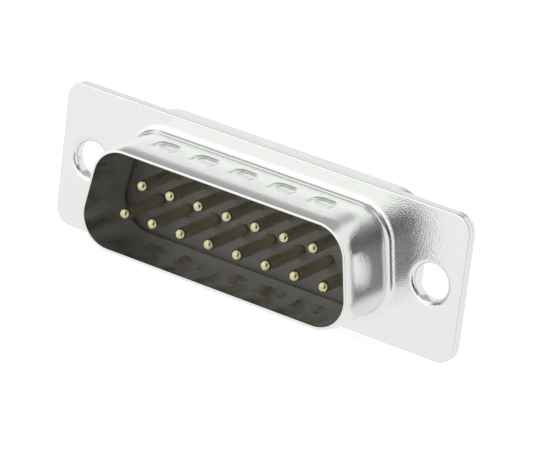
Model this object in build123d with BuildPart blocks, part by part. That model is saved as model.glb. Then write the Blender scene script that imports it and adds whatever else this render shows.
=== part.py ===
from build123d import *
import math
import os

# Fifteen-way D-shaped plug connector with solder cups, in millimetres.
# The origin is the centre of the flange's front face. X runs along the connector, Z is up with
# the narrow side of the D on top, and the mating direction is -Y. A depth is a distance behind
# the flange's front face.

# Rows of contacts: the lower row is on the wide side of the D
lower_count = 8
upper_count = 7
contact_pitch = 2.77
row_spacing = 2.84

# Plug shell: its inside is as wide and as tall as the rows, plus these margins
row_end_margin = 2.93
row_side_margin = 2.76
opening_corner = 2.6
side_angle = 10.0
shell_reach = 5.94
shell_wall = 0.40
root_radius = 0.65
lip_length = 1.20
rim_width = 0.26

# Dimples pressed into the top and bottom walls of the plug shell
dimple_count = 5
dimple_end_margin = 1.888
dimple_width = 2.20
dimple_length = 2.30
dimple_depth = 0.38
dimple_setback = 1.60
dimple_floor = 0.70
dimple_draft = 0.12
dimple_corner = 0.75
dimple_side_wall = 0.25

# Sheets of the two shells
front_sheet = 0.45
rear_sheet = 0.45

# Mounting holes, with collars drawn back from them and rolled over the rear shell
hole_diameter = 3.05
collar_wall = 0.30
collar_lip = 0.33
collar_roll = 0.28
collar_roll_width = 0.50
collar_clearance = 0.03

# Box of the rear shell: its outside is wider and taller than the opening by these margins
box_end_margin = 1.13
box_side_margin = 1.18
box_corner = 3.2
box_depth = 4.40
box_root_radius = 0.45
box_rear_radius = 0.75
box_lip = 1.35

# Flange of both shells: the rolled rim of a collar clears the box and the flange's end, and the
# box clears the flange's long edges
rim_to_box = 0.13
rim_to_end = 0.585
box_to_edge = 0.915
flange_corner = 1.5

# Insulators
insulator_clearance = 0.05
insulator_split = 2.60
boss_height = 0.60
boss_edge = 0.25
hole_clearance = 0.03
pin_hole_lip = 0.15

# Contacts
pin_diameter = 1.00
pin_reach = 4.75
shoulder_diameter = 1.40
collar_diameter = 2.05
collar_length = 1.00
cup_diameter = 1.60
cup_bore = 1.10
cup_end = 10.90
cup_bore_depth = 4.20
cup_bore_point = 0.30
cup_cutaway = 2.90
cup_cut_rise = 0.15
cup_cut_radius = 0.50


def behind(depth):
    """Plane across the connector at a depth; it faces the mating side."""
    return Plane.XZ.offset(-depth)


def section_plane(half_height):
    """Plane through a wall's lowest point, with x pointing out of the wall and y to the rear."""
    return Plane(origin=(0, 0, -half_height), x_dir=(0, 0, -1), z_dir=(1, 0, 0))


# The D opening, the box and the flange, each wide enough for what it holds
hole_radius = hole_diameter / 2
collar_outer = hole_radius + collar_wall
collar_mouth = collar_outer + collar_lip
rim_radius = collar_outer + collar_roll_width
opening_width = (lower_count - 1) * contact_pitch + 2 * row_end_margin
opening_height = row_spacing + 2 * row_side_margin
box_width = opening_width + 2 * box_end_margin
box_height = opening_height + 2 * box_side_margin
hole_x = box_width / 2 + box_root_radius + rim_to_box + rim_radius
flange_width = 2 * (hole_x + rim_radius + rim_to_end)
flange_height = box_height + 2 * box_to_edge
flange_depth = front_sheet + rear_sheet

with BuildSketch() as flange_outline:
    RectangleRounded(flange_width, flange_height, flange_corner)

# The D: half its height, and half its width at the bottom, middle and top, corners unrounded. The
# dimples are spread evenly along the straight part of its top.
side_slope = math.tan(math.radians(side_angle))
side_cos = math.cos(math.radians(side_angle))
side_sin = math.sin(math.radians(side_angle))
half_opening = opening_height / 2
corner_x = opening_width / 2 - opening_corner
corner_z = opening_corner - half_opening
half_middle = corner_x + (opening_corner + corner_z * side_sin) / side_cos
half_bottom = half_middle + half_opening * side_slope
half_top = half_middle - half_opening * side_slope
corner_reach = (opening_corner - corner_z * side_sin) / side_cos
dimple_reach = half_middle - corner_reach - dimple_end_margin
dimple_pitch = 2 * dimple_reach / (dimple_count - 1)


def d_face(grow):
    """The D outline, widened all round."""
    low = half_bottom + grow / side_cos + grow * side_slope
    high = half_top + grow / side_cos - grow * side_slope
    tall = half_opening + grow
    with BuildSketch() as sketch:
        with BuildLine():
            Polyline((-low, -tall), (low, -tall), (high, tall), (-high, tall), close=True)
        make_face()
        fillet(sketch.vertices(), opening_corner + grow)
    return sketch.sketch


def dimple_form(grow):
    """What the punch presses out of a top wall, grown for the far side of the sheet."""
    with BuildPart() as form:
        with BuildSketch() as plan:
            with Locations((0, grow)):
                Rectangle(dimple_width + 2 * grow, dimple_length + grow,
                          align=(Align.CENTER, Align.MAX))
            fillet(plan.vertices(), dimple_corner + grow)
        extrude(amount=-dimple_depth)
        with BuildSketch(Plane.YZ):
            with BuildLine():
                Polyline((grow, 0), (grow - dimple_draft, -dimple_depth),
                         (-dimple_floor, -dimple_depth), (-dimple_length, 0), close=True)
            make_face()
        extrude(amount=dimple_width, both=True, mode=Mode.INTERSECT)
    return form.part


top_bump = dimple_form(dimple_side_wall)
bottom_bump = mirror(top_bump, about=Plane.XY)
top_pocket = dimple_form(0)
bottom_pocket = mirror(top_pocket, about=Plane.XY)

# Front shell: flange, plug shell, dimples and hole collars, all one drawn sheet
bend_reach = shell_wall + root_radius
lip_inset = shell_wall - rim_width
lip_radius = (lip_length**2 + lip_inset**2) / (2 * lip_inset)
lip_angle = math.degrees(math.asin(lip_length / lip_radius))
lip_start = lip_length - shell_reach
collar_back = flange_depth + collar_roll

with BuildPart() as front_shell:
    # Flange plate, open where the plug shell and the collars are drawn out of it
    with BuildSketch(behind(front_sheet)):
        add(flange_outline.sketch)
        add(d_face(bend_reach), mode=Mode.SUBTRACT)
        with GridLocations(2 * hole_x, 0, 2, 1):
            Circle(collar_mouth, mode=Mode.SUBTRACT)
    extrude(amount=front_sheet)
    # Right half of the plug shell's wall: one section carried round the D
    with BuildLine(Plane.XZ) as shell_path:
        FilletPolyline((0, -half_opening), (half_bottom, -half_opening),
                       (half_top, half_opening), (0, half_opening), radius=opening_corner)
    with BuildSketch(section_plane(half_opening)):
        with BuildLine():
            Line((0, -shell_reach), (rim_width, -shell_reach))
            CenterArc((shell_wall - lip_radius, lip_start), lip_radius, -lip_angle, lip_angle)
            Line((shell_wall, lip_start), (shell_wall, -root_radius))
            CenterArc((bend_reach, -root_radius), root_radius, 180, -90)
            Line((bend_reach, 0), (bend_reach, front_sheet))
            EllipticalCenterArc((bend_reach, -root_radius), bend_reach,
                                root_radius + front_sheet, 90, arc_size=90)
            Line((0, -root_radius), (0, -shell_reach))
        make_face()
    half_wall = sweep(path=shell_path.line)
    mirror(half_wall, about=Plane.YZ)
    # Dimples: the bumps inside first, then the pockets outside
    with Locations((0, -dimple_setback, half_opening)):
        with GridLocations(dimple_pitch, 0, dimple_count, 1):
            add(top_bump)
    with Locations((0, -dimple_setback, -half_opening)):
        with GridLocations(dimple_pitch, 0, dimple_count, 1):
            add(bottom_bump)
    with Locations((0, -dimple_setback, half_opening + shell_wall)):
        with GridLocations(dimple_pitch, 0, dimple_count, 1):
            add(top_pocket, mode=Mode.SUBTRACT)
    with Locations((0, -dimple_setback, -half_opening - shell_wall)):
        with GridLocations(dimple_pitch, 0, dimple_count, 1):
            add(bottom_pocket, mode=Mode.SUBTRACT)
    # Collar of the right-hand hole, turned about the hole's axis, and its mirror image
    with BuildSketch(Plane(origin=(hole_x, 0, 0))):
        with BuildLine():
            CenterArc((hole_radius + collar_lip, collar_lip), collar_lip, 270, -90)
            Line((hole_radius, collar_lip), (hole_radius, collar_back - collar_roll))
            CenterArc((hole_radius + collar_roll, flange_depth), collar_roll, 180, -90)
            Line((hole_radius + collar_roll, collar_back), (rim_radius, collar_back))
            Line((rim_radius, collar_back), (rim_radius, flange_depth))
            Line((rim_radius, flange_depth), (collar_outer, flange_depth))
            Line((collar_outer, flange_depth), (collar_outer, front_sheet))
            Line((collar_outer, front_sheet), (collar_mouth, front_sheet))
            Line((collar_mouth, front_sheet), (collar_mouth, 0))
            Line((collar_mouth, 0), (hole_radius + collar_lip, 0))
        make_face()
    collar = revolve(axis=Axis((hole_x, 0, 0), (0, 1, 0)))
    mirror(collar, about=Plane.YZ)
front_shell.part.label = "front_shell"

# Rear shell: its flange, and a box drawn backwards with its rear edge turned in
box_inner_width = box_width - 2 * rear_sheet
box_inner_height = box_height - 2 * rear_sheet
box_inner_corner = box_corner - rear_sheet
box_bend = rear_sheet + box_root_radius
half_box_width = box_inner_width / 2
half_box = box_inner_height / 2
box_lip_end = rear_sheet - box_lip
rear_bend_centre = rear_sheet - box_rear_radius
rear_bend_depth = box_depth - box_rear_radius

with BuildPart() as rear_shell:
    # Flange plate, open for the box and for the front shell's collars
    with BuildSketch(behind(flange_depth)):
        add(flange_outline.sketch)
        RectangleRounded(box_inner_width + 2 * box_bend, box_inner_height + 2 * box_bend,
                         box_inner_corner + box_bend, mode=Mode.SUBTRACT)
        with GridLocations(2 * hole_x, 0, 2, 1):
            Circle(collar_outer + collar_clearance, mode=Mode.SUBTRACT)
    extrude(amount=rear_sheet)
    # Right half of the box: one section carried round a rounded rectangle
    with BuildLine(Plane.XZ) as box_path:
        FilletPolyline((0, -half_box), (half_box_width, -half_box), (half_box_width, half_box),
                       (0, half_box), radius=box_inner_corner)
    with BuildSketch(section_plane(half_box)):
        with BuildLine():
            CenterArc((box_bend, flange_depth + box_root_radius), box_bend, 270, -90)
            Line((0, flange_depth + box_root_radius), (0, rear_bend_depth))
            CenterArc((rear_bend_centre, rear_bend_depth), box_rear_radius - rear_sheet, 0, 90)
            Line((rear_bend_centre, box_depth - rear_sheet), (box_lip_end, box_depth - rear_sheet))
            Line((box_lip_end, box_depth - rear_sheet), (box_lip_end, box_depth))
            Line((box_lip_end, box_depth), (rear_bend_centre, box_depth))
            CenterArc((rear_bend_centre, rear_bend_depth), box_rear_radius, 90, -90)
            Line((rear_sheet, rear_bend_depth), (rear_sheet, flange_depth + box_root_radius))
            CenterArc((box_bend, flange_depth + box_root_radius), box_root_radius, 180, 90)
            Line((box_bend, flange_depth), (box_bend, front_sheet))
        make_face()
    half_box_wall = sweep(path=box_path.line)
    mirror(half_box_wall, about=Plane.YZ)
rear_shell.part.label = "rear_shell"

# Places of the contacts across the connector: 1 to 8 in the lower row and 9 to 15 in the upper
# row, each counted from the right-hand end as seen from the mating side
lower_places = [((lower_count - 1) / 2 * contact_pitch - i * contact_pitch, -row_spacing / 2)
                for i in range(lower_count)]
upper_places = [((upper_count - 1) / 2 * contact_pitch - i * contact_pitch, row_spacing / 2)
                for i in range(upper_count)]
contact_places = lower_places + upper_places

# Front insulator: fills the front of the box, and stands against the front shell's flange. A
# thin lip closes each hole round its pin, and the contact's shoulder seats behind it.
pin_radius = pin_diameter / 2
shoulder_radius = shoulder_diameter / 2
collar_radius = collar_diameter / 2
cup_radius = cup_diameter / 2
shoulder_front = front_sheet + pin_hole_lip
collar_front = insulator_split - collar_length
insulator_width = box_inner_width - 2 * insulator_clearance
insulator_height = box_inner_height - 2 * insulator_clearance
insulator_corner = box_inner_corner - insulator_clearance

with BuildPart() as front_insulator:
    with BuildSketch(behind(insulator_split)):
        RectangleRounded(insulator_width, insulator_height, insulator_corner)
    extrude(amount=insulator_split - front_sheet)
    for radius, hole_front in ((pin_radius, front_sheet), (shoulder_radius, shoulder_front),
                               (collar_radius, collar_front)):
        with BuildSketch(behind(insulator_split)):
            with Locations(*contact_places):
                Circle(radius + hole_clearance)
        extrude(amount=insulator_split - hole_front, mode=Mode.SUBTRACT)
front_insulator.part.label = "front_insulator"

# Rear insulator: a step inside the box, and a boss that comes out through its opening
step_depth = box_depth - rear_sheet
boss_margin = box_lip - rear_sheet
cup_hole = cup_radius + hole_clearance
with BuildPart() as rear_insulator:
    with BuildSketch(behind(step_depth)):
        RectangleRounded(insulator_width, insulator_height, insulator_corner)
    extrude(amount=step_depth - insulator_split)
    step_edges = rear_insulator.faces().sort_by(Axis.Y)[-1].edges()
    fillet(step_edges, box_rear_radius - rear_sheet)
    with BuildSketch(behind(box_depth + boss_height)):
        RectangleRounded(insulator_width - 2 * boss_margin, insulator_height - 2 * boss_margin,
                         insulator_corner - boss_margin)
    extrude(amount=rear_sheet + boss_height)
    boss_edges = rear_insulator.faces().sort_by(Axis.Y)[-1].edges()
    fillet(boss_edges, boss_edge)
    with BuildSketch(behind(box_depth + boss_height)):
        with Locations(*contact_places):
            Circle(cup_hole)
    extrude(amount=box_depth + boss_height - insulator_split, mode=Mode.SUBTRACT)
rear_insulator.part.label = "rear_insulator"


def make_contact(place, outward):
    """A turned contact: round-nosed pin, shoulder, collar, and a cup open to the outward side."""
    x, z = place
    bore_radius = cup_bore / 2
    bore_end = cup_end - cup_bore_depth
    with BuildPart() as contact:
        with BuildSketch(Plane(origin=(x, 0, z))):
            with BuildLine():
                CenterArc((0, pin_radius - pin_reach), pin_radius, 270, 90)
                Polyline((pin_radius, pin_radius - pin_reach), (pin_radius, shoulder_front),
                         (shoulder_radius, shoulder_front), (shoulder_radius, collar_front),
                         (collar_radius, collar_front), (collar_radius, insulator_split),
                         (cup_radius, insulator_split), (cup_radius, cup_end),
                         (bore_radius, cup_end), (bore_radius, bore_end),
                         (0, bore_end - cup_bore_point), (0, -pin_reach))
            make_face()
        revolve(axis=Axis((x, 0, z), (0, 1, 0)))
        with BuildSketch(Plane(origin=(x, 0, z), x_dir=(0, 1, 0), z_dir=(outward, 0, 0))) as cut:
            with Locations((cup_end - cup_cutaway, cup_cut_rise)):
                Rectangle(cup_cutaway + cup_diameter, cup_diameter, align=(Align.MIN, Align.MIN))
            fillet(cut.vertices().sort_by_distance((x, cup_end - cup_cutaway, z))[0],
                   cup_cut_radius)
        extrude(amount=cup_radius, both=True, mode=Mode.SUBTRACT)
    return contact.part


contacts = []
for number, place in enumerate(contact_places, start=1):
    outward = 1 if place in upper_places else -1
    contact_part = make_contact(place, outward)
    contact_part.label = f"contact_{number:02d}"
    contacts.append(contact_part)

os.makedirs("parts", exist_ok=True)
export_step(front_shell.part, "parts/front_shell.step")
export_step(rear_shell.part, "parts/rear_shell.step")
export_step(front_insulator.part, "parts/front_insulator.step")
export_step(rear_insulator.part, "parts/rear_insulator.step")
for contact_part in contacts:
    export_step(contact_part, f"parts/{contact_part.label}.step")
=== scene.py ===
# %% [markdown]
# # A fifteen-way D-shaped plug connector
# This is the plug half of a computer or instrument lead. Two sheet-metal shells clamp a pair of
# plastic insulators between them, and fifteen gold-plated contacts stand in two rows inside a
# D-shaped wall, which lets the socket on one way round only. The real sizes come from a solid
# model, which is loaded first and stays as the fixed frame. All that follows gives it its looks.
#
# The shells, insulators and contacts could keep the solid model's facets and only get better
# materials. They are modelled again instead: plated metal mirrors every flat facet, and a press
# leaves soft edges that the solid model doesn't have.

# %% Load the fixed frame
import math
from collections import namedtuple

import bmesh
import bpy
from mathutils import Matrix, Quaternion, Vector


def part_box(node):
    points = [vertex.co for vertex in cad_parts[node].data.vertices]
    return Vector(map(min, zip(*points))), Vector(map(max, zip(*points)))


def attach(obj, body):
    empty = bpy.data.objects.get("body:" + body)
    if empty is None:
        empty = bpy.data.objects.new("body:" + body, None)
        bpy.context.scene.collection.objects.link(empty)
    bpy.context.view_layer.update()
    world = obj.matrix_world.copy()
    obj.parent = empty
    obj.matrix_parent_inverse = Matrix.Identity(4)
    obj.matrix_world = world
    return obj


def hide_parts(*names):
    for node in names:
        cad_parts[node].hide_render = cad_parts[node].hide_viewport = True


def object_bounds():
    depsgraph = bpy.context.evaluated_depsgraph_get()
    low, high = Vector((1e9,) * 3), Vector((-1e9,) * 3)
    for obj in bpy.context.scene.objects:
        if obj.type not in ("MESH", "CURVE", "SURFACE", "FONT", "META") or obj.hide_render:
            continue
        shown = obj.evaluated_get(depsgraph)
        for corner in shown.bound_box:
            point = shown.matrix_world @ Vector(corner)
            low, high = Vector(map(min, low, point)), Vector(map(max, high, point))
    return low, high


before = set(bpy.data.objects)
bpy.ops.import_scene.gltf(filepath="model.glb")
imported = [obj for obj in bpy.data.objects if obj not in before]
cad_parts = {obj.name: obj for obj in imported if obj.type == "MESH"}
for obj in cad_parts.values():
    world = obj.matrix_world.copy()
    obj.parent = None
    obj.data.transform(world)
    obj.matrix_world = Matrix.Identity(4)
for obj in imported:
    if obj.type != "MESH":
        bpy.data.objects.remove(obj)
cad_low, cad_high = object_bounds()
print("frame, corner to corner:", [round(v, 5) for v in cad_high - cad_low], "m")

# %% [markdown]
# ## Sizes
# Connector drawings are in millimetres, so each mesh is modelled in millimetres and scaled to
# metres once, when it is finished. What the frame holds is measured on the frame. The rest are
# the thicknesses and roundings of the sheet, written here as real sizes. A press rolls the edge
# of the face that it cuts from, and leaves a much smaller rounding, the burr, on the other.
# Everywhere below, a depth is the distance behind the flange's front face, and the plug points
# along -Y.

# %% Measure the frame
MM = 0.001


def node_box(node):
    """Lowest and highest corner of a node of the frame, in millimetres."""
    low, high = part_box(node)
    return low / MM, high / MM


shell_low, shell_high = node_box("front_shell")
half_flange = Vector((shell_high.x, 0, shell_high.z))
shell_reach = -shell_low.y
collar_back = shell_high.y
box_depth = node_box("rear_shell")[1].y
face_depth, split_depth = (corner.y for corner in node_box("front_insulator"))
boss_depth = node_box("rear_insulator")[1].y
contact_names = sorted(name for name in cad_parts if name.startswith("contact_"))
pin_tip, cup_end = (corner.y for corner in node_box(contact_names[0]))
print("half flange:", half_flange, "reach:", round(shell_reach, 2), "contacts:", len(contact_names))

# %% Sizes of the sheet and of what is pressed into it
front_sheet = 0.45
box_sheet = 0.45
flange_depth = front_sheet + box_sheet
flange_corner = 1.5
edge_roll = 0.10
edge_burr = 0.04

opening_width = 25.25
opening_height = 8.36
opening_corner = 2.6
side_lean = 10.0
shell_wall = 0.40
root_radius = 0.65
lip_length = 1.20
rim_width = 0.20
rim_round = 0.14

hole_x = 16.66
hole_radius = 1.525
collar_wall = 0.30
collar_lip = 0.42
collar_roll = 0.28
collar_roll_width = 0.50

box_half_width = 13.755
box_half_height = 5.36
box_corner = 3.2
box_root = 0.45
box_rear = 0.75
box_lip = 1.35

# %% [markdown]
# ## Drawing a section
# A drawn shell keeps nearly one section all the way round, so the section is the thing to
# draw. It could be typed in as a curve's points. Here it is a few straight runs, and each corner
# is then rounded by a vertex bevel, whose offset is the rounding's radius at a square corner.
# The bevel's steps are about STEP_LENGTH long, and points nearer than SNAP are merged later.

# %% Helpers that draw a section
SNAP = 0.0008
STEP_LENGTH = 0.09


def draw_section(bm, corners, place):
    """Draws runs through (across, depth, rounding) corners; place puts a corner in space."""
    verts = [bm.verts.new(place(across, depth)) for across, depth, rounding in corners]
    for first, second in zip(verts, verts[1:]):
        bm.edges.new((first, second))
    for vert, (across, depth, rounding) in zip(verts, corners):
        if rounding:
            bmesh.ops.bevel(bm, geom=[vert], offset=rounding, affect="VERTICES",
                            segments=max(3, round(rounding * math.pi / 2 / STEP_LENGTH)),
                            profile=0.5, material=-1)


def verts_in(geometry):
    """The vertices among what an operator hands back."""
    return [item for item in geometry if isinstance(item, bmesh.types.BMVert)]


def edges_in(geometry):
    """The edges among what an operator hands back."""
    return [item for item in geometry if isinstance(item, bmesh.types.BMEdge)]


def join(bm, part):
    """Adds one bmesh to another and frees it."""
    passing = bpy.data.meshes.new("passing")
    part.to_mesh(passing)
    part.free()
    bm.from_mesh(passing)
    bpy.data.meshes.remove(passing)


# %% [markdown]
# ## Carrying a section round an outline
# The plug wall, the box at the back, both flanges' edges and both insulators all follow a
# four-sided outline with round corners; on the D its two sides lean inwards. A curve with a
# bevel object could sweep the section, but it would choose its own steps. Extruding the section
# along each straight side and spinning it about each corner's centre gives exact corners, and
# lets a side have extra steps where something will be pressed into it. Only the right half is
# swept, and a mirror adds the left.

# %% Helpers that sweep a section
Outline = namedtuple("Outline", "half_width half_height corner lean")
CORNER_STEPS = 14


def corner_centre(outline, side):
    """Centre of the right-hand corner at the bottom (side -1) or the top (side 1)."""
    lean = math.radians(outline.lean)
    height = side * (outline.half_height - outline.corner)
    across = (outline.corner + height * math.sin(lean)) / math.cos(lean)
    return Vector((outline.half_width - across, 0, height))


def carry(bm, edges, move):
    """Extrudes the section by one straight move."""
    made = bmesh.ops.extrude_edge_only(bm, edges=edges)["geom"]
    bmesh.ops.translate(bm, vec=move, verts=verts_in(made))
    return edges_in(made)


def turn(bm, edges, centre, degrees):
    """Spins the section round a corner."""
    made = bmesh.ops.spin(bm, geom=edges, cent=centre, axis=(0, -1, 0), steps=CORNER_STEPS,
                          angle=math.radians(degrees))
    return edges_in(made["geom_last"])


def sweep_round(outline, corners, stations=()):
    """A closed wall with the given section; stations are extra steps along top and bottom."""
    bm = bmesh.new()
    draw_section(bm, corners, lambda grow, depth: (0, depth, -outline.half_height - grow))
    low, high = corner_centre(outline, -1), corner_centre(outline, 1)
    edges = bm.edges[:]
    here = 0.0
    for x in [*stations, low.x]:
        edges = carry(bm, edges, Vector((x - here, 0, 0)))
        here = x
    edges = turn(bm, edges, low, 90 + outline.lean)
    edges = carry(bm, edges, high - low)
    edges = turn(bm, edges, high, 90 - outline.lean)
    here = high.x
    for x in [*reversed(stations), 0.0]:
        edges = carry(bm, edges, Vector((x - here, 0, 0)))
        here = x
    bmesh.ops.mirror(bm, geom=bm.verts[:] + bm.edges[:] + bm.faces[:], matrix=Matrix.Identity(4),
                     merge_dist=SNAP, axis="X")
    bmesh.ops.remove_doubles(bm, verts=bm.verts, dist=SNAP)
    return bm


# %% [markdown]
# ## Turning a section about an axis
# Collars, pin holes and contacts are round, so their section is spun a full turn about an axis
# along Y. Holes could also be cut with booleans, but a spun wall has even steps and its own
# roundings. The faces of a plate between its outer edge and its holes are then flat areas
# with holes in them, which the triangle fill makes from the loops that are still open.

# %% Helpers that turn a section and fill a flat face


def turned(x, z, corners, steps):
    """A ring with the given (radius, depth, rounding) section about an axis along Y."""
    bm = bmesh.new()
    draw_section(bm, corners, lambda radius, depth: (x + radius, depth, z))
    bmesh.ops.spin(bm, geom=bm.verts[:] + bm.edges[:], cent=(x, 0, z), axis=(0, 1, 0),
                   angle=2 * math.pi, steps=steps, use_merge=True)
    bmesh.ops.remove_doubles(bm, verts=bm.verts, dist=SNAP)
    return bm


def fill_flat(bm, depth):
    """Fills the flat face at a depth between all the loops that are open there."""
    rim = [edge for edge in bm.edges
           if edge.is_boundary and all(abs(vert.co.y - depth) < SNAP for vert in edge.verts)]
    bmesh.ops.triangle_fill(bm, edges=rim, use_beauty=True)


# %% [markdown]
# ## Finishing a piece
# Every piece ends the same way: doubles are merged, the faces are pointed outwards, the mesh is
# scaled from millimetres to metres, and it is shaded smooth with its sharp edges kept. The
# Weighted Normal modifier lets the large flat faces decide the shading where they meet a small
# rounding, as they do on a real part. The piece then rides on the frame and stands for a node.

# %% Helper that turns a finished bmesh into a piece
SHARP_ANGLE = math.radians(38)


def finish_piece(bm, name, material, nodes):
    """Makes the object, with its place in its mesh, and ties it to the frame."""
    bmesh.ops.remove_doubles(bm, verts=bm.verts, dist=SNAP)
    bmesh.ops.recalc_face_normals(bm, faces=bm.faces)
    bmesh.ops.scale(bm, vec=Vector((MM, MM, MM)), verts=bm.verts)
    mesh = bpy.data.meshes.new(name)
    bm.to_mesh(mesh)
    open_edges = sum(edge.is_boundary for edge in bm.edges)
    bm.free()
    mesh.shade_smooth()
    mesh.set_sharp_from_angle(angle=SHARP_ANGLE)
    mesh.materials.append(material)
    piece = bpy.data.objects.new(name, mesh)
    bpy.context.scene.collection.objects.link(piece)
    weighted = piece.modifiers.new("flat faces lead", "WEIGHTED_NORMAL")
    weighted.keep_sharp = True
    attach(piece, "root")
    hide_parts(*nodes)
    print(name, len(mesh.polygons), "faces,", open_edges, "open edges")


# %% [markdown]
# ## Grain of the plated sheets
# Tin plating on steel is bright but not a mirror: it has a fine pebbled grain about a tenth
# of a millimetre across, over a slow unevenness of the sheet under it. An image of such a grain
# would need a layout on both shells. Noise in space needs none, and runs on from face to face.
# The grain is a node group of its own, so that another plated sheet can wear it with other
# values. It hands back a height for a bump and a mask for the roughness. The shader itself
# stays in the material, where an exporter can read it.

# %% Node helpers


def add_node(tree, kind, inputs=None, **settings):
    """Adds a node and sets its properties and unlinked inputs."""
    node = tree.nodes.new(kind)
    for key, value in settings.items():
        setattr(node, key, value)
    for key, value in (inputs or {}).items():
        node.inputs[key].default_value = value
    return node


def new_group(name, inputs, outputs):
    """A shader node group with float inputs and outputs; gives the tree and its two ends."""
    tree = bpy.data.node_groups.new(name, "ShaderNodeTree")
    tree.interface.new_socket("Position", in_out="INPUT", socket_type="NodeSocketVector")
    for socket in inputs:
        tree.interface.new_socket(socket, in_out="INPUT", socket_type="NodeSocketFloat")
    for socket in outputs:
        tree.interface.new_socket(socket, in_out="OUTPUT", socket_type="NodeSocketFloat")
    return tree, add_node(tree, "NodeGroupInput"), add_node(tree, "NodeGroupOutput")


def noise_of_size(tree, position, size, detail=2.0):
    """Noise whose lumps are about size metres across."""
    noise = add_node(tree, "ShaderNodeTexNoise", {"Scale": 1 / size, "Detail": detail})
    tree.links.new(position, noise.inputs["Vector"])
    return noise.outputs["Fac"]


def plus_share(tree, first, second, share):
    """First plus share times second."""
    node = add_node(tree, "ShaderNodeMath", {1: share}, operation="MULTIPLY_ADD")
    tree.links.new(second, node.inputs[0])
    tree.links.new(first, node.inputs[2])
    return node.outputs[0]


def mapped(tree, value, source, target=(0, 1), **settings):
    """A value carried from the source range to the target range, and held at its ends."""
    node = add_node(tree, "ShaderNodeMapRange",
                    {"From Min": source[0], "From Max": source[1],
                     "To Min": target[0], "To Max": target[1]}, **settings)
    tree.links.new(value, node.inputs["Value"])
    return node.outputs["Result"]


def depth_of(tree, position):
    """How far behind the flange's front face a position is, in metres."""
    parts = add_node(tree, "ShaderNodeSeparateXYZ")
    tree.links.new(position, parts.inputs[0])
    return parts.outputs["Y"]


# %% The grain group
GRAIN_SIZE = 0.00010
PEBBLE_SIZE = 0.00022
PEBBLE_SHARE = 0.2
SWELL_SIZE = 0.0035


def make_grain_group():
    """Fine grain and pebbles over a slow swell; Swell says how much of the last."""
    tree, ends, out = new_group("plated grain", ["Swell"], ["Height", "Dull"])
    fine = noise_of_size(tree, ends.outputs["Position"], GRAIN_SIZE, detail=0.0)
    pebble = noise_of_size(tree, ends.outputs["Position"], PEBBLE_SIZE)
    swell = noise_of_size(tree, ends.outputs["Position"], SWELL_SIZE, detail=1.0)
    grain = plus_share(tree, fine, pebble, PEBBLE_SHARE)
    swelled = add_node(tree, "ShaderNodeMath", operation="MULTIPLY_ADD")
    tree.links.new(swell, swelled.inputs[0])
    tree.links.new(ends.outputs["Swell"], swelled.inputs[1])
    tree.links.new(grain, swelled.inputs[2])
    tree.links.new(swelled.outputs[0], out.inputs["Height"])
    tree.links.new(swell, out.inputs["Dull"])
    return tree


grain_group = make_grain_group()
print("node group:", grain_group.name)

# %% [markdown]
# ## Tin plate
# The plating could be a plain metal with one roughness. The real one has grain that breaks
# a reflection into speckle, and patches that are a little duller than the rest. The bump is
# only about a hundredth of a millimetre deep, because a grain that fine still turns a
# reflection by several degrees. The press's tools slide over the bends and over the wall's
# front and burnish them, so the grain's strength goes by depth: all of it on the flange's face,
# most of it on the plug wall, and little on the bends, the lip and all that is behind the face.

# %% Helpers for a material
NOISE_RANGE = (0, 1)


def new_material(name):
    """A new material; gives it, its node tree and its Principled shader."""
    material = bpy.data.materials.new(name)
    material.use_nodes = True
    tree = material.node_tree
    print("material:", name)
    return material, tree, tree.nodes["Principled BSDF"]


def add_bump(tree, shader, height, depth):
    """Raises the surface by a height, up to a depth in metres; gives the bump's node."""
    bump = add_node(tree, "ShaderNodeBump", {"Distance": depth})
    tree.links.new(height, bump.inputs["Height"])
    tree.links.new(bump.outputs["Normal"], shader.inputs["Normal"])
    return bump


def add_tone(tree, shader, mask, first, second):
    """Colours the surface from first to second, by a mask."""
    tone = add_node(tree, "ShaderNodeMix", {6: first, 7: second}, data_type="RGBA")
    tree.links.new(mask, tone.inputs[0])
    tree.links.new(tone.outputs[2], shader.inputs["Base Color"])


# %% Tin plate material
TIN_COLOUR = (0.855, 0.87, 0.85, 1)
TIN_ROUGHNESS = (0.10, 0.17)
DULL_RANGE = (0.3, 0.7)
SWELL_SHARE = 1.5
GRAIN_DEPTH = 0.000015
BURNISH_FRONT = -6.0
BURNISH_BACK = 2.0
# Depth in millimetres, and the share of the grain that is left there
GRAIN_LEFT = [(-6.0, 0.2), (-5.0, 0.8), (-0.8, 0.8), (-0.6, 0.2), (-0.1, 0.2), (-0.03, 1.0),
              (0.02, 1.0), (0.1, 0.2)]


def burnish(tree, position):
    """The share of the grain that the press leaves at a position."""
    along = mapped(tree, depth_of(tree, position), (BURNISH_FRONT * MM, BURNISH_BACK * MM))
    ramp = add_node(tree, "ShaderNodeValToRGB")
    tree.links.new(along, ramp.inputs["Fac"])
    stops = ramp.color_ramp.elements
    stops.remove(stops[1])
    for number, (depth, share) in enumerate(GRAIN_LEFT):
        along = (depth - BURNISH_FRONT) / (BURNISH_BACK - BURNISH_FRONT)
        stop = stops.new(along) if number else stops[0]
        stop.color = (share, share, share, 1)
    return ramp.outputs["Color"]


def make_tin():
    """Bright tin plate with its grain."""
    material, tree, shader = new_material("tin_plate")
    shader.inputs["Base Color"].default_value = TIN_COLOUR
    shader.inputs["Metallic"].default_value = 1.0
    place = add_node(tree, "ShaderNodeTexCoord").outputs["Object"]
    grain = add_node(tree, "ShaderNodeGroup", {}, node_tree=grain_group)
    grain.inputs["Swell"].default_value = SWELL_SHARE
    tree.links.new(place, grain.inputs["Position"])
    rough = mapped(tree, grain.outputs["Dull"], DULL_RANGE, TIN_ROUGHNESS)
    tree.links.new(rough, shader.inputs["Roughness"])
    bump = add_bump(tree, shader, grain.outputs["Height"], GRAIN_DEPTH)
    tree.links.new(burnish(tree, place), bump.inputs["Strength"])
    return material


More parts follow.
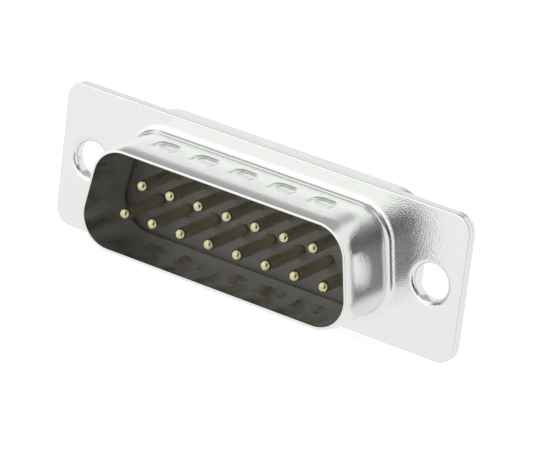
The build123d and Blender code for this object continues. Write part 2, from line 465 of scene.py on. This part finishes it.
tin_plate = make_tin()

# %% [markdown]
# ## Moulded plastic
# The insulators are a dark, faintly warm grey plastic with glass fibres in it. One flat colour
# would look like paint. The real face is matt, with a very fine texture from the mould, and the
# fibres make it slightly uneven in tone, so one slow noise drives both the colour and the
# roughness, and a much finer one the bump.

# %% Moulded plastic material
PLASTIC_DARK = (0.135, 0.128, 0.115, 1)
PLASTIC_PALE = (0.19, 0.18, 0.168, 1)
PLASTIC_ROUGHNESS = (0.42, 0.58)
PLASTIC_SHINE = 0.4
FLOW_SIZE = 0.0022
MOULD_TEXTURE = 0.00008
MOULD_DEPTH = 0.000004


def make_plastic():
    """Dark moulded plastic with a fine texture."""
    material, tree, shader = new_material("moulded_plastic")
    shader.inputs["Specular IOR Level"].default_value = PLASTIC_SHINE
    place = add_node(tree, "ShaderNodeTexCoord").outputs["Object"]
    flow = noise_of_size(tree, place, FLOW_SIZE, detail=3.0)
    add_tone(tree, shader, flow, PLASTIC_DARK, PLASTIC_PALE)
    rough = mapped(tree, flow, NOISE_RANGE, PLASTIC_ROUGHNESS)
    tree.links.new(rough, shader.inputs["Roughness"])
    add_bump(tree, shader, noise_of_size(tree, place, MOULD_TEXTURE), MOULD_DEPTH)
    return material


moulded_plastic = make_plastic()

# %% [markdown]
# ## Gold plate
# The contacts are turned brass with a thin flash of pale gold. Two materials could be used,
# one for the nose and one for the rest. One material with a mask along the depth lets the
# polished nose, which leads the pin into its socket, fade into the duller shaft.

# %% Gold plate material
GOLD_NOSE = (0.64, 0.59, 0.365, 1)
GOLD_SHAFT = (0.63, 0.59, 0.45, 1)
GOLD_ROUGHNESS = (0.06, 0.14)
GOLD_PATCH = 0.0009
BRIGHT_NOSE = 0.35
NOSE_FADE = 0.25
SHAFT_DULLER = 0.20
TOOL_MARK = 0.00022
TOOL_DEPTH = 0.00002


def make_gold():
    """Pale gold plating over turned brass."""
    material, tree, shader = new_material("gold_plate")
    shader.inputs["Metallic"].default_value = 1.0
    place = add_node(tree, "ShaderNodeTexCoord").outputs["Object"]
    nose_end = pin_tip + BRIGHT_NOSE
    shaft = mapped(tree, depth_of(tree, place), (nose_end * MM, (nose_end + NOSE_FADE) * MM))
    add_tone(tree, shader, shaft, GOLD_NOSE, GOLD_SHAFT)
    rough = mapped(tree, noise_of_size(tree, place, GOLD_PATCH), NOISE_RANGE, GOLD_ROUGHNESS)
    tree.links.new(plus_share(tree, rough, shaft, SHAFT_DULLER), shader.inputs["Roughness"])
    add_bump(tree, shader, noise_of_size(tree, place, TOOL_MARK), TOOL_DEPTH)
    return material


gold_plate = make_gold()

# %% [markdown]
# ## Dimples in the plug wall
# Five dimples are pressed into the top wall and five into the bottom wall. They grip the
# socket's shell and earth it. Each has a sloping back and sides and a floor that ramps up to
# the surface at the front. Cutting them with a boolean would leave hard edges, and the punch
# leaves soft ones, so the wall gets close steps there and its vertices are moved by the punch's
# shape: a wide rounding at the brow, where the sheet bends in, and a tighter one at the foot.
# The inside face moves by the same shape, made a little wider, so the wall keeps about its
# thickness.

# %% The punch's shape
dimple_pitch = 3.79
dimple_centres = [place * dimple_pitch for place in (-2, -1, 0, 1, 2)]
dimple_width = 2.20
dimple_length = 2.30
dimple_setback = 1.60
dimple_floor = 0.70
dimple_corner = 0.75
dimple_side_wall = 0.25
dimple_sink = 0.14
brow_radius = 0.44
foot_radius = 0.14
wall_slope = math.radians(46)
bend_width = (brow_radius + foot_radius) * math.sin(wall_slope)
dimple_depth = (brow_radius + foot_radius) * (1 - math.cos(wall_slope))


def bend_drop(inside):
    """Share of the full depth at a distance inside the punch: the brow, and then the foot."""
    run = min(bend_width, max(0.0, inside + dimple_sink))
    if run < brow_radius * math.sin(wall_slope):
        return (brow_radius - math.sqrt(brow_radius**2 - run**2)) / dimple_depth
    left = bend_width - run
    return 1 - (foot_radius - math.sqrt(foot_radius**2 - left**2)) / dimple_depth


def punch_depth(x, depth, grow):
    """How deep the punch goes at x from its middle; grow widens it for the far side."""
    half = dimple_width / 2 + grow
    behind = -dimple_setback + grow - depth
    corner = dimple_corner + grow
    from_side = half - abs(x)
    if from_side < corner and behind < corner:
        inside = corner - math.hypot(corner - from_side, corner - behind)
    else:
        inside = min(from_side, behind)
    ramp = (dimple_length + grow - behind) / (dimple_length - dimple_floor)
    return dimple_depth * bend_drop(inside) * min(1.0, max(0.0, ramp))


def press_dimples(bm):
    """Moves the top and bottom walls in by the punch's shape."""
    inner = opening_height / 2
    for vert in bm.verts:
        out = abs(vert.co.z) - inner
        if not -SNAP < out < shell_wall + SNAP:
            continue
        grow = dimple_side_wall * (1 - out / shell_wall)
        deep = max(punch_depth(vert.co.x - x, vert.co.y, grow) for x in dimple_centres)
        vert.co.z -= math.copysign(deep, vert.co.z)


# %% Steps along the wall where the punch acts
FINE_STEP = 0.05
COARSE_STEP = 3 * FINE_STEP


def spread(first, last, step):
    """Evenly spread values from first to last, no further apart than step."""
    count = math.ceil(abs(last - first) / step)
    return [first + (last - first) * i / count for i in range(count + 1)]


def dimple_stations():
    """Places along the right half of a wall: close together at the dimples' sides."""
    near = dimple_width / 2 - dimple_corner
    far = dimple_width / 2 + dimple_side_wall + dimple_sink
    offsets = [0.0, near / 2] + spread(near, far + FINE_STEP, FINE_STEP)
    places = {round(centre + side * offset, 4)
              for centre in dimple_centres for offset in offsets for side in (-1, 1)}
    return sorted(x for x in places if x > SNAP)


def dimple_rows(first, last):
    """Depths between first and last: close together at the dimples' backs."""
    back = -dimple_setback + dimple_side_wall + dimple_sink
    rows = spread(back, back - dimple_corner - 2 * dimple_side_wall, FINE_STEP)
    rows += spread(rows[-1], -dimple_setback - dimple_length - dimple_side_wall, COARSE_STEP)[1:]
    return sorted((row for row in rows if min(first, last) < row < max(first, last)),
                  reverse=first > last)


plug_stations = dimple_stations()
print("stations:", len(plug_stations), "rows:", len(dimple_rows(-shell_reach, 0)))

# %% [markdown]
# ## Front shell
# The front shell is one drawn sheet: the flange, the plug wall that comes forward out of it
# through a round root, the lip at the wall's front, which the press closes in slightly, and the
# collars that are drawn back through the rear shell and rolled over it as rivets. A single
# surface with a Solidify modifier could stand for it. Drawing both faces in one section gives
# each its own rounding, as the real bends have. The opening's width is measured across its
# lower corners, and the outline's at half its height, where the leaning sides are closer.

# %% Front shell
COLLAR_STEPS = 64
lean = math.radians(side_lean)
lower_corner_across = (opening_corner + (opening_corner - opening_height / 2) * math.sin(lean)
                       ) / math.cos(lean)
plug_outline = Outline(opening_width / 2 - opening_corner + lower_corner_across,
                       opening_height / 2, opening_corner, side_lean)
flange_outline = Outline(half_flange.x, half_flange.z, flange_corner, 0.0)
hole_places = (-hole_x, hole_x)
print("plug outline:", [round(size, 3) for size in plug_outline])


def flange_edge(front, back, front_roll, back_roll):
    """Section of a flange's cut edge, from the front face to the back face."""
    inset = 2 * edge_roll
    return [(-inset, front, 0), (0, front, front_roll), (0, back, back_roll), (-inset, back, 0)]


def build_front_shell():
    """Plug wall, flange and hole collars of the front shell."""
    reach = shell_wall + root_radius
    wall = [(reach, 0, 0), (shell_wall, 0, root_radius)]
    wall += [(shell_wall, row, 0) for row in dimple_rows(0, -shell_reach)]
    wall += [(shell_wall, lip_length / 2 - shell_reach, lip_length / 2 - SNAP),
             (rim_width, -shell_reach, rim_round), (0, -shell_reach, edge_burr)]
    wall += [(0, row, 0) for row in dimple_rows(-shell_reach, 0)]
    wall += [(0, front_sheet, reach - SNAP), (reach, front_sheet, 0)]
    bm = sweep_round(plug_outline, wall, plug_stations)
    press_dimples(bm)
    join(bm, sweep_round(flange_outline, flange_edge(0, front_sheet, edge_roll, edge_burr)))
    outer = hole_radius + collar_wall
    mouth = outer + collar_lip
    rolled = outer + collar_roll_width
    for x in hole_places:
        join(bm, turned(x, 0, [
            (mouth, 0, 0), (hole_radius, 0, collar_lip), (hole_radius, collar_back, collar_roll),
            (rolled, collar_back, edge_roll / 2), (rolled, flange_depth, 0),
            (outer, flange_depth, 0), (outer, front_sheet, 0), (mouth, front_sheet, 0)],
            COLLAR_STEPS))
    fill_flat(bm, 0)
    fill_flat(bm, front_sheet)
    return bm


finish_piece(build_front_shell(), "front_shell_sheet", tin_plate, ["front_shell"])

# %% [markdown]
# ## Rear shell
# The rear shell has the same flange outline. Its box is drawn backwards, holds both
# insulators, and has its rear edge turned in round the insulator's boss. It is made in the
# same way as the front shell, so that both sheets bend alike where they lie on each other.

# %% Rear shell
rivet_clearance = 0.03
box_outline = Outline(box_half_width - box_sheet, box_half_height - box_sheet,
                      box_corner - box_sheet, 0.0)


def build_rear_shell():
    """Flange and box of the rear shell."""
    bend = box_sheet + box_root
    lip_end = box_sheet - box_lip
    bm = sweep_round(box_outline, [
        (bend, front_sheet, 0), (0, front_sheet, bend - SNAP),
        (0, box_depth - box_sheet, box_rear - box_sheet), (lip_end, box_depth - box_sheet, edge_burr),
        (lip_end, box_depth, edge_burr), (box_sheet, box_depth, box_rear),
        (box_sheet, flange_depth, box_root), (bend, flange_depth, 0)])
    join(bm, sweep_round(flange_outline,
                         flange_edge(front_sheet, flange_depth, edge_burr, edge_roll)))
    rivet_hole = hole_radius + collar_wall + rivet_clearance
    for x in hole_places:
        join(bm, turned(x, 0, [(rivet_hole, front_sheet, 0), (rivet_hole, flange_depth, 0)],
                        COLLAR_STEPS))
    fill_flat(bm, front_sheet)
    fill_flat(bm, flange_depth)
    return bm


finish_piece(build_rear_shell(), "rear_shell_sheet", tin_plate, ["rear_shell"])

# %% [markdown]
# ## Contacts: where they stand
# Each contact's axis is the middle of its node in the frame, so the rows and the pitch
# come from the solid model and aren't repeated here.

# %% Contact places
ContactPlace = namedtuple("ContactPlace", "name x z")


def contact_place(name):
    """A contact's axis, from the middle of its node's box."""
    low, high = node_box(name)
    return ContactPlace(name, (low.x + high.x) / 2, (low.z + high.z) / 2)


contact_places = [contact_place(name) for name in contact_names]
print("first contact:", contact_places[0], "tip", round(pin_tip, 2))

# %% [markdown]
# ## Insulators
# The two insulators trap the contacts' collars between them. A cube with its edges bevelled and
# its holes cut would do for the look from the front. Here the side is a section carried round
# an outline, and each hole a section turned about a contact's axis, so the stepped holes are
# right inside too. The hole mouths have a small chamfer, which shows as a dark ring round each
# pin.

# %% Sizes of the insulators and contacts
HOLE_STEPS = 32
pin_radius = 0.50
shoulder_radius = 0.70
collar_radius = 1.025
cup_radius = 0.80
cup_bore = 0.55
collar_front = 1.60
shoulder_front = 0.60
hole_clearance = 0.03
hole_chamfer = 0.10
insulator_gap = 0.05
mould_edge = 0.08
mould_inset = 4 * mould_edge
boss_edge = 0.25
insulator_outline = Outline(box_outline.half_width - insulator_gap,
                            box_outline.half_height - insulator_gap,
                            box_outline.corner - insulator_gap, 0.0)
print("insulator outline:", [round(size, 3) for size in insulator_outline])

# %% Front insulator


def build_front_insulator():
    """Block with stepped holes for the pins, shoulders and collars."""
    bm = sweep_round(insulator_outline, [
        (-mould_inset, face_depth, 0), (0, face_depth, mould_edge),
        (0, split_depth, mould_edge), (-mould_inset, split_depth, 0)])
    pin_hole = pin_radius + hole_clearance
    shoulder_hole = shoulder_radius + hole_clearance
    collar_hole = collar_radius + hole_clearance
    for place in contact_places:
        join(bm, turned(place.x, place.z, [
            (pin_hole + hole_chamfer, face_depth, 0),
            (pin_hole, face_depth + hole_chamfer, 0), (pin_hole, shoulder_front, 0),
            (shoulder_hole, shoulder_front, 0), (shoulder_hole, collar_front, 0),
            (collar_hole, collar_front, 0), (collar_hole, split_depth, 0)], HOLE_STEPS))
    fill_flat(bm, face_depth)
    fill_flat(bm, split_depth)
    return bm


finish_piece(build_front_insulator(), "front_insulator_moulding", moulded_plastic,
             ["front_insulator"])

# %% Rear insulator


def build_rear_insulator():
    """Step inside the box, and the boss that comes out through its opening."""
    step_depth = box_depth - box_sheet
    margin = box_lip - box_sheet
    bm = sweep_round(insulator_outline, [
        (-mould_inset, split_depth, 0), (0, split_depth, mould_edge),
        (0, step_depth, box_rear - box_sheet), (-margin, step_depth, 0),
        (-margin, boss_depth, boss_edge), (-margin - 2 * boss_edge, boss_depth, 0)])
    cup_hole = cup_radius + hole_clearance
    for place in contact_places:
        join(bm, turned(place.x, place.z, [
            (cup_hole, split_depth, 0), (cup_hole, boss_depth - hole_chamfer, 0),
            (cup_hole + hole_chamfer, boss_depth, 0)], HOLE_STEPS))
    fill_flat(bm, split_depth)
    fill_flat(bm, boss_depth)
    return bm


finish_piece(build_rear_insulator(), "rear_insulator_moulding", moulded_plastic,
             ["rear_insulator"])

# %% [markdown]
# ## Contacts
# A contact is turned from bar, so it is a section spun about its axis: a round-nosed pin, the
# shoulder and collar that hold it in the plastic, and a solder cup at the back. The cup is
# open on its outward side. That opening is milled on the real contact, and a boolean with
# a block does the same here. One contact is made and copied to every place.

# %% One contact, standing on the Y axis
CONTACT_STEPS = 40
turned_edge = 0.04
cup_edge = 0.05
cup_bore_depth = 4.20
cup_point = 0.30
cup_cutaway = 2.90
cup_cut_rise = 0.15
cup_cut_radius = 0.50


def build_contact():
    """The turned contact before its cup is opened."""
    bore_end = cup_end - cup_bore_depth
    return turned(0, 0, [
        (0, pin_tip, 0), (pin_radius, pin_tip, pin_radius - SNAP),
        (pin_radius, shoulder_front, 0), (shoulder_radius, shoulder_front, turned_edge),
        (shoulder_radius, collar_front, 0), (collar_radius, collar_front, turned_edge),
        (collar_radius, split_depth, turned_edge), (cup_radius, split_depth, 0),
        (cup_radius, cup_end, cup_edge), (cup_bore, cup_end, cup_edge),
        (cup_bore, bore_end, 0), (0, bore_end - cup_point, 0)], CONTACT_STEPS)


def build_cutter():
    """The block that opens the cup upwards; its lower front edge is round."""
    bm = bmesh.new()
    bmesh.ops.create_cube(bm, size=1)
    length = cup_cutaway + cup_radius
    bmesh.ops.scale(bm, vec=Vector((4 * cup_radius, length, 2 * cup_radius)), verts=bm.verts)
    bmesh.ops.translate(bm, vec=Vector((0, cup_end - cup_cutaway + length / 2,
                                        cup_cut_rise + cup_radius)), verts=bm.verts)
    nose = [edge for edge in bm.edges
            if all(vert.co.y < cup_end - cup_cutaway + SNAP and vert.co.z < cup_cut_rise + SNAP
                   for vert in edge.verts)]
    bmesh.ops.bevel(bm, geom=nose, offset=cup_cut_radius, affect="EDGES", segments=8,
                    profile=0.5, material=-1)
    return bm


def plain_object(bm, name):
    """A helper object that is removed again after use."""
    bmesh.ops.recalc_face_normals(bm, faces=bm.faces)
    mesh = bpy.data.meshes.new(name)
    bm.to_mesh(mesh)
    bm.free()
    thing = bpy.data.objects.new(name, mesh)
    bpy.context.scene.collection.objects.link(thing)
    return thing


def open_cup():
    """The contact with its cup opened, as a mesh in millimetres."""
    contact = plain_object(build_contact(), "contact pattern")
    cutter = plain_object(build_cutter(), "cup cutter")
    cut = contact.modifiers.new("open the cup", "BOOLEAN")
    cut.object = cutter
    cut.operation = "DIFFERENCE"
    cut.solver = "EXACT"
    graph = bpy.context.evaluated_depsgraph_get()
    mesh = bpy.data.meshes.new_from_object(contact.evaluated_get(graph))
    bpy.data.objects.remove(contact)
    bpy.data.objects.remove(cutter)
    return mesh


contact_pattern = open_cup()
print("contact pattern:", len(contact_pattern.polygons), "faces")

# %% Stand a contact at every place


def place_contact(place):
    """A copy of the contact at its place, with its cup open away from the middle."""
    bm = bmesh.new()
    bm.from_mesh(contact_pattern)
    if place.z < 0:
        bmesh.ops.rotate(bm, cent=(0, 0, 0), matrix=Matrix.Rotation(math.pi, 3, "Y"),
                         verts=bm.verts)
    bmesh.ops.translate(bm, vec=Vector((place.x, 0, place.z)), verts=bm.verts)
    return bm


for place in contact_places:
    finish_piece(place_contact(place), "plated_" + place.name, gold_plate,
                 [place.name])

# %% [markdown]
# ## Camera
# The photograph is taken from well to the right and a little above, from far enough away that
# the connector is almost free of perspective, and the frame is turned a few degrees. The
# camera is placed by those angles round the point in the middle of the picture.

# %% Camera
VIEW_AZIMUTH = 31.972
VIEW_ELEVATION = 21.324
VIEW_ROLL = 7.123
VIEW_DISTANCE = 0.31813
VIEW_LENS = 265.44
VIEW_TARGET = Vector((1.3858 * MM, 0, 0.0149 * MM))
SENSOR_WIDTH = 36
NEAREST, FARTHEST = 0.01, 20


def direction(azimuth, elevation):
    """Unit vector from the object towards an azimuth and elevation; azimuth 0 is -Y."""
    a, e = math.radians(azimuth), math.radians(elevation)
    return Vector((math.sin(a) * math.cos(e), -math.cos(a) * math.cos(e), math.sin(e)))


def make_camera():
    """The camera of the main picture."""
    data = bpy.data.cameras.new("camera")
    data.sensor_width = SENSOR_WIDTH
    data.lens = VIEW_LENS
    data.clip_start, data.clip_end = NEAREST, FARTHEST
    camera = bpy.data.objects.new("camera", data)
    back = direction(VIEW_AZIMUTH, VIEW_ELEVATION)
    camera.location = VIEW_TARGET + back * VIEW_DISTANCE
    camera.rotation_mode = "QUATERNION"
    roll = Quaternion((0, 0, 1), math.radians(VIEW_ROLL))
    camera.rotation_quaternion = (-back).to_track_quat("-Z", "Y") @ roll
    bpy.context.scene.collection.objects.link(camera)
    bpy.context.scene.camera = camera
    print("camera at", [round(v, 4) for v in camera.location])


make_camera()

# %% [markdown]
# ## Studio
# Bright metal shows what is round it, so the studio is half of its look. It could be built of
# cards and lamps. Here the world itself is painted by direction, because soft patches are
# easier to place than cards: a bright window in front on the left, a dark side of the room in
# front on the right, a darker ceiling behind and a dark corner on the left. A patch is full
# within its core and fades out at its reach, both in degrees from its middle, and a later one
# is laid over the earlier. Only reflections see the patches. The camera sees plain white, and
# all other light is one plain level.

# %% The painted studio
AMBIENT = 0.7
STUDIO_WALLS = 0.92

Patch = namedtuple("Patch", "azimuth elevation core reach brightness")
WINDOW = Patch(azimuth=-32, elevation=28, core=20, reach=55, brightness=1.18)
CEILING = [
    Patch(azimuth=-140, elevation=62, core=24, reach=40, brightness=0.42),
    Patch(azimuth=-170, elevation=38, core=3, reach=12, brightness=0.45),
]
DARK_SIDE = [
    Patch(azimuth=38, elevation=-6, core=7, reach=24, brightness=0.16),
    Patch(azimuth=40, elevation=19, core=12, reach=27, brightness=0.08),
    Patch(azimuth=26, elevation=30, core=6, reach=15, brightness=0.22),
    Patch(azimuth=58, elevation=44, core=10, reach=24, brightness=0.25),
    Patch(azimuth=18, elevation=68, core=12, reach=24, brightness=0.42),
]
DARK_CORNER = Patch(azimuth=-96, elevation=16, core=10, reach=22, brightness=0.30)
STUDIO_PATCHES = [WINDOW, *CEILING, *DARK_SIDE, DARK_CORNER]


def paint_studio(tree):
    """Brightness of the studio by direction: pale walls, with the patches laid over them."""
    place = add_node(tree, "ShaderNodeTexCoord")
    level = add_node(tree, "ShaderNodeValue").outputs[0]
    level.default_value = STUDIO_WALLS
    for patch in STUDIO_PATCHES:
        middle = direction(patch.azimuth, patch.elevation)
        nearness = add_node(tree, "ShaderNodeVectorMath", {1: middle}, operation="DOT_PRODUCT")
        tree.links.new(place.outputs["Generated"], nearness.inputs[0])
        edges = (math.cos(math.radians(patch.reach)), math.cos(math.radians(patch.core)))
        share = mapped(tree, nearness.outputs["Value"], edges, interpolation_type="SMOOTHSTEP")
        laid = add_node(tree, "ShaderNodeMix", {3: patch.brightness}, data_type="FLOAT")
        tree.links.new(share, laid.inputs[0])
        tree.links.new(level, laid.inputs[2])
        level = laid.outputs[0]
    return level


# %% World
scene = bpy.context.scene
scene.view_settings.view_transform = "Standard"
WHITE = (1, 1, 1, 1)


def make_world():
    """White for the camera, the painted studio for reflections, plain soft light for the rest."""
    world = bpy.data.worlds.new("studio")
    world.use_nodes = True
    scene.world = world
    tree = world.node_tree
    light = tree.nodes["Background"]
    light.inputs["Color"].default_value = WHITE
    path = add_node(tree, "ShaderNodeLightPath")
    white = add_node(tree, "ShaderNodeMath", operation="MAXIMUM")
    tree.links.new(path.outputs["Is Camera Ray"], white.inputs[0])
    tree.links.new(path.outputs["Is Transmission Ray"], white.inputs[1])
    mirrored = add_node(tree, "ShaderNodeMix", {2: AMBIENT}, data_type="FLOAT")
    tree.links.new(path.outputs["Is Glossy Ray"], mirrored.inputs[0])
    tree.links.new(paint_studio(tree), mirrored.inputs[3])
    strength = add_node(tree, "ShaderNodeMix", {3: 1.0}, data_type="FLOAT")
    tree.links.new(white.outputs[0], strength.inputs[0])
    tree.links.new(mirrored.outputs[0], strength.inputs[2])
    tree.links.new(strength.outputs[0], light.inputs["Strength"])
    print("studio:", len(STUDIO_PATCHES), "patches")


make_world()

# %% [markdown]
# ## Floor
# The connector stands just over pale paper, which keeps a faint shadow under it. A shadow
# catcher would keep only the shadow. A real sheet is simpler: it is pale, and a little glow
# that only the camera sees lifts it to white, so no more light falls on the connector.

# %% Floor
FLOOR_SIZE = 3.0
FLOOR_GAP = 0.00005
FLOOR_COLOUR = (0.9, 0.9, 0.9, 1)
FLOOR_ROUGHNESS = 0.9
FLOOR_GLOW = 0.5


def make_floor():
    """A pale sheet just under the connector; white to the camera, with its shadow kept."""
    bm = bmesh.new()
    bmesh.ops.create_grid(bm, x_segments=1, y_segments=1, size=FLOOR_SIZE / 2)
    bmesh.ops.translate(bm, vec=Vector((0, 0, cad_low.z - FLOOR_GAP)), verts=bm.verts)
    mesh = bpy.data.meshes.new("floor")
    bm.to_mesh(mesh)
    bm.free()
    floor = bpy.data.objects.new("floor", mesh)
    floor.visible_glossy = False
    scene.collection.objects.link(floor)
    material, tree, shader = new_material("pale_floor")
    shader.inputs["Base Color"].default_value = FLOOR_COLOUR
    shader.inputs["Roughness"].default_value = FLOOR_ROUGHNESS
    shader.inputs["Specular IOR Level"].default_value = 0.0
    shader.inputs["Emission Color"].default_value = WHITE
    path = add_node(tree, "ShaderNodeLightPath")
    glow = add_node(tree, "ShaderNodeMath", {1: FLOOR_GLOW}, operation="MULTIPLY")
    tree.links.new(path.outputs["Is Camera Ray"], glow.inputs[0])
    tree.links.new(glow.outputs[0], shader.inputs["Emission Strength"])
    mesh.materials.append(material)


make_floor()

# %% [markdown]
# ## Lamp
# The light from all round leaves the inside of the plug flat. One large soft lamp in front on
# the left, where the window is, reaches in and parts the pins from the face behind them. A
# small lamp would be as bright but would throw hard shadows. Reflections see the painted
# window in its place.

# %% Lamp
LAMP_AZIMUTH = -30
LAMP_ELEVATION = 14
LAMP_DISTANCE = 0.7
LAMP_SIZE = 0.6
LAMP_RADIANCE = 2.0


def make_lamp():
    """A soft lamp whose face is as bright as its radiance, where white paper is 1."""
    data = bpy.data.lights.new("key lamp", "AREA")
    data.shape = "SQUARE"
    data.size = LAMP_SIZE
    data.energy = LAMP_RADIANCE * math.pi * LAMP_SIZE * LAMP_SIZE
    lamp = bpy.data.objects.new("key lamp", data)
    back = direction(LAMP_AZIMUTH, LAMP_ELEVATION)
    lamp.location = back * LAMP_DISTANCE
    lamp.rotation_mode = "QUATERNION"
    lamp.rotation_quaternion = (-back).to_track_quat("-Z", "Y")
    lamp.visible_camera = False
    lamp.visible_glossy = False
    scene.collection.objects.link(lamp)
    print("lamp:", lamp.name, round(data.energy, 2), "W")


make_lamp()
